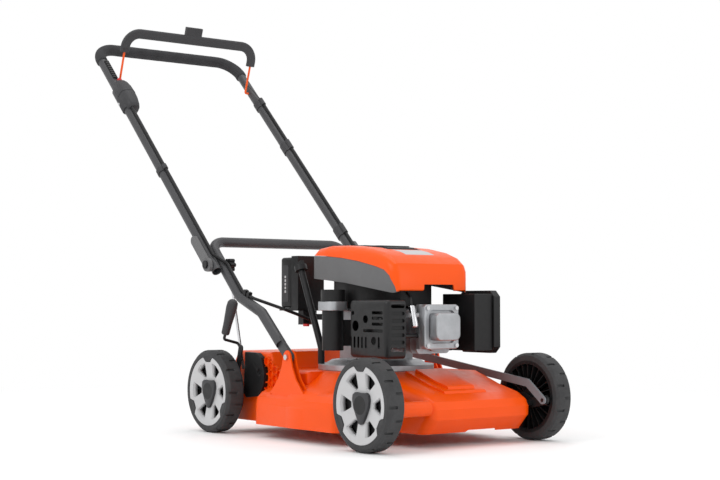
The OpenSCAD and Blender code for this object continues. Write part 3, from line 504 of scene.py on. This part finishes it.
# %% Honeycomb ribs on the tunnel's sides
CELL_R = 11.5
CELL_HEIGHT = CELL_R * math.sqrt(3)
CELL_WALL = 1.1
RIB_DEPTH = 7
FIRST_CELL = (-462, 116)
CELL_TOP = 182  # the net's upper edge at its rear end, from which it slopes down forwards
for side in (1, -1):
    ribs = bmesh.new()
    for column in range(4):
        for row in range(4):
            x = FIRST_CELL[0] + column * CELL_R * 1.5
            z = FIRST_CELL[1] + row * CELL_HEIGHT + (column % 2) * CELL_HEIGHT / 2
            if z > CELL_TOP - (x - FIRST_CELL[0]) * 0.5:
                continue
            turn = Matrix.Translation(at(x, side * TUNNEL_Y, z)) @ Matrix.Rotation(math.pi / 2, 4, "X")
            cell = bmesh.ops.create_circle(ribs, cap_ends=True, segments=6, radius=CELL_R * MM,
                                           matrix=turn)["verts"]
            face = cell[0].link_faces[0]
            inner = bmesh.ops.inset_individual(ribs, faces=[face], thickness=CELL_WALL * MM)
            bmesh.ops.delete(ribs, geom=[face], context="FACES_ONLY")
            grown = bmesh.ops.extrude_face_region(ribs, geom=inner["faces"])["geom"]
            bmesh.ops.translate(ribs, vec=(0, side * RIB_DEPTH * MM, 0),
                                verts=[v for v in grown if isinstance(v, bmesh.types.BMVert)])
    keep("honeycomb_left" if side > 0 else "honeycomb_right", ribs, "deck_orange", "chassis")

# %% [markdown]
# ## Engine cover
# The cover is one flowing shell in two colours: an orange top and a grey panel on each side.
# Two rounded solids, one drawn from the side and one from above, meet in exactly that form.
# The shell is then split along the colour line, with a fine gap between the pieces.

# %% Engine cover
COVER_SIDE = [(-420, 300), (-412, 330), (-404, 410), (-394, 432), (-374, 445), (-330, 450), (-270, 449),
              (-200, 443), (-140, 432), (-105, 420), (-84, 404), (-76, 385), (-73, 345), (-73, 300)]
COVER_HALF = 113
COVER_MIDDLE_X = -235
CORNER_R = 25
REAR_CORNER = [(-374 - CORNER_R * math.sin(math.radians(a)), -87 - CORNER_R * math.cos(math.radians(a)))
               for a in range(0, 91, 15)]
COVER_PLAN = [(-90, 112), (-73, 96), (-73, -96), (-90, -112), *REAR_CORNER,
              *[(x, -y) for x, y in reversed(REAR_CORNER)]]
PANEL_SIDE = [(-500, 250), (-60, 250), (-82, 352), (-92, 376), (-112, 390), (-146, 399), (-207, 411),
              (-271, 420), (-340, 426), (-388, 428), (-500, 430)]
LOWER_EDGE = [(-600, 250), (0, 250), (0, 345), (-73, 345), (-84, 338), (-259, 362), (-404, 375), (-600, 375)]


def moved(outline, dx, dy):
    """The outline, shifted."""
    return [(x + dx, y + dy) for x, y in outline]


def cover_form(inset):
    """The whole cover as a solid, made smaller by inset and lowered by the same amount."""
    side = prism(moved(COVER_SIDE, 0, -inset), inset - COVER_HALF, COVER_HALF - inset,
                 round_ends=30, segments=7)
    shrink = 1 - inset / 150
    plan = [(COVER_MIDDLE_X + (x - COVER_MIDDLE_X) * shrink, y * shrink) for x, y in COVER_PLAN]
    return combine(side, prism(plan, 260, 470, "Z"), "INTERSECT")


def cover_shell():
    """The cover as a thin shell, open below its lower edge."""
    return cut(cover_form(0), cover_form(3.5), prism(LOWER_EDGE, -200, 200))


def panel_zones(gap):
    """The space that the two side panels take, with a gap round their upper edge."""
    outline = [(x, z - gap) for x, z in PANEL_SIDE]
    return union(prism(outline, -200, -58 - gap), prism(outline, 58 + gap, 200))


VENT = [(-322, -40), (-306, -52), (-190, -52), (-176, -40), (-176, 40), (-190, 52), (-306, 52), (-322, 40)]
shell = cut(
    cover_shell(),
    panel_zones(0),
    prism([(-34, 300), (-26, 357), (60, 357), (70, 300)], -110, -40, "X"),
    prism(VENT, 447.2, 470, "Z"),
    cylinder(21, 0, 60, at(-349, 44, 410), steps=40),  # the fuel filler's hole
)
keep("cover_top", shell, "cowl_orange", "chassis", ("top_cover",), smooth=25, bevel=1.6 * MM,
     segments=3, bevel_angle=32)
keep("cover_sides", combine(cover_shell(), panel_zones(0.6), "INTERSECT"), "grey_plastic", "chassis",
     ("side_panels",), smooth=25, bevel=1.2 * MM, segments=3, bevel_angle=32)

# %% [markdown]
# ## Silencer guard
# The guard is one deep pressing with large rounded corners. It is a rounded box cut by a smaller
# one, and then by slots and holes that let the hot air out.

# %% Silencer guard
GUARD = ((-205, -142, 192), (-62, -76, 322))


def guard_form(inset):
    """The guard as a rounded box, made smaller by inset."""
    (x0, y0, z0), (x1, y1, z1) = GUARD
    plan = [(x0 + inset, y0 + inset), (x1 - inset, y0 + inset), (x1 - inset, y1), (x0 + inset, y1)]
    return prism(plan, z0 + inset, z1 - inset, "Z", round_ends=9 - inset, round_sides=13 - inset)


def slot_cut(low, high, across):
    """A slot with round ends through the guard's side (Y) or front (X) face."""
    (u0, v0), (u1, v1) = low, high
    r = min(u1 - u0, v1 - v0) * 0.48
    start, end = (-150, -132) if across == "Y" else (-74, -50)
    return prism([(u0, v0), (u1, v0), (u1, v1), (u0, v1)], start, end, across, round_sides=r)


cuts = [slot_cut((-131, 208 + i * 16), (-93, 216 + i * 16), "X") for i in range(7)]
cuts += [slot_cut((-199 + i * 14, 214), (-192 + i * 14, 240), "Y") for i in range(5)]
cuts += [slot_cut((-118, z), (-78, z + 7), "Y") for z in (265, 278, 290)]
cuts += [slot_cut((-149, 250), (-78, 257), "Y"), slot_cut((-96, 214), (-89, 240), "Y")]
cuts += [cylinder(r, 0, 20, at(x, -150, z), (0, 1, 0), 28)
         for x, z, r in ((-178, 264, 12), (-141, 279, 9), (-111, 231, 9), (-188, 293, 5))]
guard = cut(guard_form(0), guard_form(2), prism([(-260, -90), (-20, -90), (-20, -60), (-260, -60)],
                                                180, 330, "Z"), *cuts)
keep("muffler_guard_pressing", guard, "black_steel", "chassis", ("muffler_guard",), bevel=0.6 * MM)

# %% [markdown]
# ## Lofted and swept pieces
# Soft moulded shapes follow a line and change size along it. Rings of points are placed on the
# line and joined, which covers the control housing, the foam grip and the cables.

# %% Lofts and sweeps
LEAN = math.radians(44.1)
UP = Vector((-math.cos(LEAN), 0, math.sin(LEAN)))
ACROSS = Vector((0, 1, 0))
OFF = Vector((math.sin(LEAN), 0, math.cos(LEAN)))
UPPER_Y = 232
LOWER_Y = 206
JOINT_X = -643
JOINT_Z = 409.5


def up_tube(t, y, off=0):
    """A point t up the upper handle tube from its joint, off above it, in metres."""
    return at(JOINT_X, y, JOINT_Z) + (UP * t + OFF * off) * MM


def rings_to_solid(rings):
    """Joins rings with the same number of points into a closed solid."""
    bm = bmesh.new()
    loops = [[bm.verts.new(p) for p in ring] for ring in rings]
    for a, b in zip(loops, loops[1:]):
        for i in range(len(a)):
            j = (i + 1) % len(a)
            bm.faces.new((a[i], a[j], b[j], b[i]))
    bm.faces.new(loops[0])
    bm.faces.new(loops[-1])
    return bm


def oval(center, u, v, a, b, power=2.0, steps=32):
    """A ring of points with half sizes a and b in millimetres. A higher power makes it squarer."""
    ring = []
    for i in range(steps):
        turn = math.tau * i / steps
        c, s = math.cos(turn), math.sin(turn)
        x = math.copysign(abs(c) ** (2 / power), c) * a
        y = math.copysign(abs(s) ** (2 / power), s) * b
        ring.append(center + (u * x + v * y) * MM)
    return ring


def bent_line(corners, radius, step):
    """Evenly spaced points along straight runs joined by arcs, all in metres."""
    line = [corners[0]]
    for before, corner, after in zip(corners, corners[1:], corners[2:]):
        a, b = (before - corner).normalized(), (after - corner).normalized()
        half = a.angle(b) / 2
        back = radius / math.tan(half)
        center = corner + (a + b).normalized() * radius / math.sin(half)
        first = corner + a * back - center
        turn = Matrix.Rotation(math.pi - 2 * half, 3, first.cross(corner + b * back - center))
        count = max(3, int((math.pi - 2 * half) * radius / step))
        whole = turn.to_quaternion()
        for i in range(count + 1):
            part = Matrix.Identity(3).to_quaternion().slerp(whole, i / count)
            line.append(center + part @ first)
    line.append(corners[-1])
    even = [line[0]]
    for a, b in zip(line, line[1:]):
        count = max(1, round((b - a).length / step))
        even += [a.lerp(b, i / count) for i in range(1, count + 1)]
    return even


def swept(line, size_at, steps=20):
    """A round tube along a line of points. size_at gives its radius at a share of the length."""
    rings = []
    side = Vector((0, 0, 1)) if abs((line[1] - line[0]).normalized().z) < 0.9 else Vector((1, 0, 0))
    for i, point in enumerate(line):
        ahead = (line[min(i + 1, len(line) - 1)] - line[max(i - 1, 0)]).normalized()
        side = (side - ahead * side.dot(ahead)).normalized()
        radius = size_at(i / (len(line) - 1))
        rings.append(oval(point, side, ahead.cross(side), radius, radius, steps=steps))
    return rings_to_solid(rings)


print("the upper handle leans", round(90 - math.degrees(LEAN), 1), "degrees from upright")

# %% [markdown]
# ## Foam grip
# The grip is a soft sleeve over the top of the handle's U. It is a little uneven, as foam is, and
# its two ends roll in.


# %% Foam grip
def foam_size(share):
    """The grip's radius, a little uneven as foam is, and rolled in at its two ends."""
    from_end = min(share, 1 - share)
    rolled = min(1, from_end / 0.006)
    return 13.2 + 2.7 * math.sqrt(1 - (1 - rolled) ** 2) + 0.1 * math.sin(share * 90)


GRIP_START = 838
HANDLE_LEN = 906
grip_line = bent_line([up_tube(GRIP_START, -UPPER_Y), up_tube(HANDLE_LEN, -UPPER_Y),
                       up_tube(HANDLE_LEN, UPPER_Y), up_tube(GRIP_START, UPPER_Y)], 60 * MM, 2 * MM)
grip = keep("foam_sleeve", swept(grip_line, foam_size, 32), "foam", "upper_handle", ("foam_grip",))
print("grip points:", len(grip_line))

# %% [markdown]
# ## Cables across the joint
# Each cable comes from the CAD in two lengths, one on each side of the fold. A short length
# joins them.

# %% Cables across the joint
CABLE_OFF = 17.3
CABLE_R = 3.85
for side, name in ((-1, "engine_lead"), (1, "brake_cable")):
    route = [up_tube(t, side * y, CABLE_OFF)
             for t, y in ((-22, LOWER_Y), (-14, LOWER_Y), (18, UPPER_Y), (26, UPPER_Y))]
    crossing_solid = swept(bent_line(route, 9 * MM, 1.2 * MM), lambda share: CABLE_R, 16)
    crossing = finished_object(name + "_crossing", crossing_solid, "black_plastic")
    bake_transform(crossing)

# %% [markdown]
# ## Control housing
# The start control is a moulded shell on a clamp round the tube. A toothed strip above it is
# where the bail bar latches.

# %% Control housing
POD_AT = 612
# each ring's distance up the tube, and its half sizes off the tube and across it
POD_RINGS = [(0, 15, 14), (2, 18, 17), (12, 21, 20), (34, 25, 23), (60, 26, 24), (84, 25, 23),
             (102, 22, 20), (112, 18, 17), (117, 12, 11), (118, 8, 8)]


def pod_solid(rings):
    """A squarish moulded body along the upper tube."""
    return rings_to_solid([oval(up_tube(POD_AT + t, 8 - UPPER_Y, 8), OFF, ACROSS, a, b, 2.8, 36)
                           for t, a, b in rings])


pod = pod_solid(POD_RINGS)
keep("pod_shell", pod, "dark_plastic", "upper_handle", ("control_pod",), smooth=50)
clamp = rings_to_solid([oval(up_tube(POD_AT + t, -UPPER_Y, 0), OFF, ACROSS, r, r, 2.2, 36)
                        for t, r in ((8, 15.5), (10, 17), (94, 17), (96, 15.5))])
keep("pod_clamp", clamp, "dark_plastic", "upper_handle", smooth=40)
seam = pod_solid([(57, 26.3, 24.3), (58.2, 26.3, 24.3)])
keep("pod_seam", seam, "black_plastic", "upper_handle")
bolt = spun([(0, 0), (4, 0), (4, 3), (2.5, 4), (0, 4)], up_tube(650, -UPPER_Y - 15, -4), (0, -1, 0), 20)
keep("pod_bolt", bolt, "bright_steel", "upper_handle")
STRIP_AT = 748
TOOTH_PITCH = 9
strap = bmesh.new()
for i in range(9):
    start = STRIP_AT + i * TOOTH_PITCH
    ends = [oval(up_tube(t, 2 - UPPER_Y, 13), OFF, ACROSS, 4.5, 7, 4, 16) for t in (start, start + 6)]
    absorb(strap, rings_to_solid(ends))
keep("bail_latch_strip", strap, "black_plastic", "upper_handle")

# %% [markdown]
# ## Battery
# The battery is a rounded block with a panel and five charge lights. The red tab
# below it locks the engine lead's plug.

# %% Battery
body = prism([(-548, -97), (-496, -97), (-496, -23), (-548, -23)], 303, 427, "Z", round_ends=7,
             round_sides=9, segments=5)
keep("battery_case", body, "black_plastic", "battery", ("battery",), smooth=40)
panel = prism([(-538, 318), (-511, 318), (-511, 408), (-538, 408)], -97.8, -96, "Y", round_sides=6)
keep("battery_panel", panel, "dark_plastic", "battery", bevel=0.5 * MM)
lights = bmesh.new()
for i in range(5):
    low = 340 + i * 9
    outline = [(-527, low), (-521, low), (-521, low + 6), (-527, low + 6)]
    absorb(lights, prism(outline, -98.1, -97, "Y", round_sides=1))
keep("battery_lights", lights, "rim_grey", "battery")
tab = prism([(-470, 258), (-452, 258), (-452, 264), (-470, 264)], -82, -76, "Y", round_sides=2)
keep("lead_lock_tab", tab, "button_red", "chassis")

# %% [markdown]
# ## Starter, valve cover and spark plug
# The castings get rounded boxes and bolt holes. The plug gets its shield, its body and the
# end of its lead.

# %% Starter flange
flange = prism([(-301.5, -110), (-238.5, -110), (-238.5, -166.5), (-301.5, -166.5)], 297.5, 318.5, "Z",
               round_ends=2, round_sides=19, segments=6)
keep("starter_flange", flange, "cast_alloy", "chassis", smooth=40)

# %% Valve cover and spark plug
plate = prism([(-50, 212), (50, 212), (50, 312), (-50, 312)], -62, -44, "X", round_ends=2, round_sides=9)
plate = cut(plate, prism([(-37, 225), (37, 225), (37, 299), (-37, 299)], -50, -40, "X", round_sides=10),
            *[cylinder(3.2, 0, 40, at(-72, y, z), (1, 0, 0), 20, (0, 0, 1))
              for y in (-42, 42) for z in (220, 304)])
box = prism([(-35, 231), (35, 231), (35, 293), (-35, 293)], -50.5, -19, "X", round_ends=4, round_sides=14,
            segments=5)
keep("valve_cover_cast", union(plate, box), "cast_alloy", "chassis", ("valve_cover",), bevel=1.0 * MM)
lean = Vector((-0.28, 0, 1)).normalized()
shield = spun([(0, 0), (5.5, 0), (8, 3), (8, 46), (6.5, 50), (6.5, 3), (0, 3)], at(-58, -66, 262), lean, 32)
keep("plug_shield", shield, "bright_steel", "chassis", ("spark_plug",), smooth=40)
plug = cylinder(5, 0, 24, at(-68, -50, 288), (0, -1, 0), 24, (0, 0, 1))
keep("plug_body", plug, "rim_grey", "chassis", bevel=0.4 * MM)
lead = swept(bent_line([at(-71, -66, 308), at(-78, -64, 328), at(-120, -40, 338)], 8 * MM, 2 * MM),
             lambda share: 3.2, 16)
keep("plug_lead", lead, "black_plastic", "chassis")

# %% [markdown]
# ## Cover inserts
# The vent's frame and ribs and a plain plaque follow the curve of the cover's top.

# %% Cover inserts
ROOF = [(-322, 450), (-270, 449), (-200, 443), (-140, 432), (-112, 422.5)]


def roof(x):
    """The height of the cover's top at x."""
    for (x0, z0), (x1, z1) in zip(ROOF, ROOF[1:]):
        if x <= x1:
            return z0 + (z1 - z0) * (x - x0) / (x1 - x0)
    return ROOF[-1][1]


def roof_plate(x0, x1, half, proud):
    """A thin plate that follows the cover's top from x0 to x1 and stands proud of it."""
    count = 10
    rows = [x0 + (x1 - x0) * i / count for i in range(count + 1)]
    outline = [(x, roof(x) + proud) for x in rows] + [(x, roof(x) - 1.5) for x in reversed(rows)]
    return prism(outline, -half, half, "Y")


keep("vent_frame", roof_plate(-318, -178, 50, 0.5), "dark_plastic", "chassis", bevel=0.4 * MM)
RIB_START = -310
RIB_PITCH = 11
for i in range(12):
    x = RIB_START + i * RIB_PITCH
    keep(f"vent_rib_{i}", roof_plate(x, x + 5, 44, 2.2), "black_plastic", "chassis", bevel=0.4 * MM)
keep("cover_plaque", roof_plate(-168, -120, 42, 0.6), "rim_grey", "chassis", bevel=0.4 * MM)

# %% [markdown]
# ## Wheels
# The light rim is a dished plastic cover with six windows and three notches. A spun dish is cut
# by window and notch solids, and the windows get deep side walls, because the real cover is
# thin and its windows are short tunnels. A dark cap closes the middle.

# %% Rim covers and hub caps
RIM_R = 83.8
WINDOW_DEPTH = 15
DISH = [(12, -9), (30, -9), (44, -6.5), (66, -3.6), (76, -1.2), (RIM_R, -0.8), (RIM_R, -4.2),
        (76, -5), (66, -7.2), (44, -10), (30, -12.5), (12, -12.5)]
WINDOW = [(37, -6), (42, -9), (66, -20), (69, -16), (71.5, 0), (69, 16), (66, 20), (42, 9), (37, 6)]


def turned(points, degrees):
    """The points, turned round the origin."""
    c, s = math.cos(math.radians(degrees)), math.sin(math.radians(degrees))
    return [(x * c - y * s, x * s + y * c) for x, y in points]


def local_prism(outline, z0, z1):
    """An upright prism at the world's origin, in millimetres."""
    bm = prism(outline, z0, z1, "Z")
    bmesh.ops.translate(bm, vec=(-AXLE_X, 0, 0), verts=bm.verts)
    return bm


def window_walls(degrees):
    """A short tapered tunnel behind one window."""
    bm = bmesh.new()
    ring = [bm.verts.new((x * MM, y * MM, -3.0 * MM - (72 - math.hypot(x, y)) * 0.13 * MM))
            for x, y in turned(WINDOW, degrees)]
    edges = [bm.edges.new((a, b)) for a, b in zip(ring, ring[1:] + ring[:1])]
    grown = bmesh.ops.extrude_edge_only(bm, edges=edges)["geom"]
    deep = [v for v in grown if isinstance(v, bmesh.types.BMVert)]
    middle = sum((v.co for v in deep), Vector()) / len(deep)
    for v in deep:
        v.co.x = middle.x + (v.co.x - middle.x) * 0.9
        v.co.y = middle.y + (v.co.y - middle.y) * 0.9
        v.co.z = -WINDOW_DEPTH * MM
    bmesh.ops.recalc_face_normals(bm, faces=bm.faces)
    return bm


cover = spun(DISH, Vector((0, 0, 0)))
for i in range(6):
    cover = cut(cover, local_prism(turned(WINDOW, i * 60), -30, 10))
for i in range(3):
    notch = [(x + RIM_R, y) for x, y in [(6, -30), (-11.5, -12), (-13, -9), (-13, 9), (-11.5, 12), (6, 30)]]
    cover = cut(cover, local_prism(turned(notch, 90 + i * 120), -30, 10))
rim_mesh = bpy.data.meshes.new("rim_cover")
cover.to_mesh(rim_mesh)
cover.free()
walls = bmesh.new()
for i in range(6):
    absorb(walls, window_walls(i * 60))
walls_mesh = bpy.data.meshes.new("window_walls")
walls.to_mesh(walls_mesh)
walls.free()
CAP = [(0, -41), (7, -39), (14, -26), (25, -6), (29, 12), (27, 22), (19, 27), (8, 26)]
cap_outline = CAP + [(-x, y) for x, y in reversed(CAP[1:])]
cap = local_prism(cap_outline, -10, -2.2)
top_face = [f for f in cap.faces if f.normal.z > 0.9]
bmesh.ops.inset_region(cap, faces=top_face, thickness=4 * MM, depth=1.6 * MM)
cap_mesh = bpy.data.meshes.new("hub_cap")
cap.to_mesh(cap_mesh)
cap.free()

for end in ("front", "rear"):
    for side, sign in (("right", -1), ("left", 1)):
        corner = f"{end}_{side}"
        low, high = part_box(corner + "_tyre")
        center = (low + high) / 2
        center.y = low.y if sign < 0 else high.y
        turn = Matrix.Rotation(math.radians(90 if sign < 0 else -90), 4, "X")
        if sign > 0:
            turn = turn @ Matrix.Rotation(math.pi, 4, "Z")
        place = Matrix.Translation(center) @ turn
        for name, source, slot, node in (("cover", rim_mesh, "rim_grey", corner + "_rim"),
                                         ("windows", walls_mesh, "rim_grey", None),
                                         ("cap", cap_mesh, "dark_plastic", None)):
            bm = bmesh.new()
            bm.from_mesh(source)
            bmesh.ops.transform(bm, matrix=place, verts=bm.verts)
            piece = keep(f"{corner}_{name}", bm, slot, corner + "_wheel", (node,) if node else (),
                         bevel=0 if name == "windows" else 0.7 * MM)
            if name == "windows":
                wall = piece.modifiers.new("wall", "SOLIDIFY")
                wall.thickness = 1.2 * MM
                wall.offset = 0
print("rim faces:", len(rim_mesh.polygons))

# %% [markdown]
# ## Floor
# The floor is a wide plane. Far from the mower it turns as white as the sky, so that no horizon
# line shows.

# %% Floor
bm = bmesh.new()
bmesh.ops.create_grid(bm, x_segments=1, y_segments=1, size=30)
floor_mesh = bpy.data.meshes.new("floor")
bm.to_mesh(floor_mesh)
bm.free()
floor_white = finish("floor_white", (0.93, 0.93, 0.93), (0.6, 0.8), blotch=0.004)
tree = floor_white.node_tree
distance = tree.nodes.new("ShaderNodeVectorMath")
distance.operation = "LENGTH"
tree.links.new(tree.nodes.new("ShaderNodeTexCoord").outputs["Object"], distance.inputs[0])
fade = tree.nodes.new("ShaderNodeMapRange")
fade.interpolation_type = "SMOOTHSTEP"
fade.inputs["From Min"].default_value = 0.7
fade.inputs["From Max"].default_value = 1.9
tree.links.new(distance.outputs["Value"], fade.inputs["Value"])
glow = tree.nodes.new("ShaderNodeEmission")
mixer = tree.nodes.new("ShaderNodeMixShader")
tree.links.new(fade.outputs["Result"], mixer.inputs["Fac"])
tree.links.new(tree.nodes["Principled BSDF"].outputs["BSDF"], mixer.inputs[1])
tree.links.new(glow.outputs["Emission"], mixer.inputs[2])
tree.links.new(mixer.outputs["Shader"], tree.nodes["Material Output"].inputs["Surface"])
floor_mesh.materials.append(floor_white)
floor = bpy.data.objects.new("floor", floor_mesh)
floor.location.z = -0.0005
bpy.context.scene.collection.objects.link(floor)
print("floor reaches", round(max(floor.dimensions), 1), "m across")
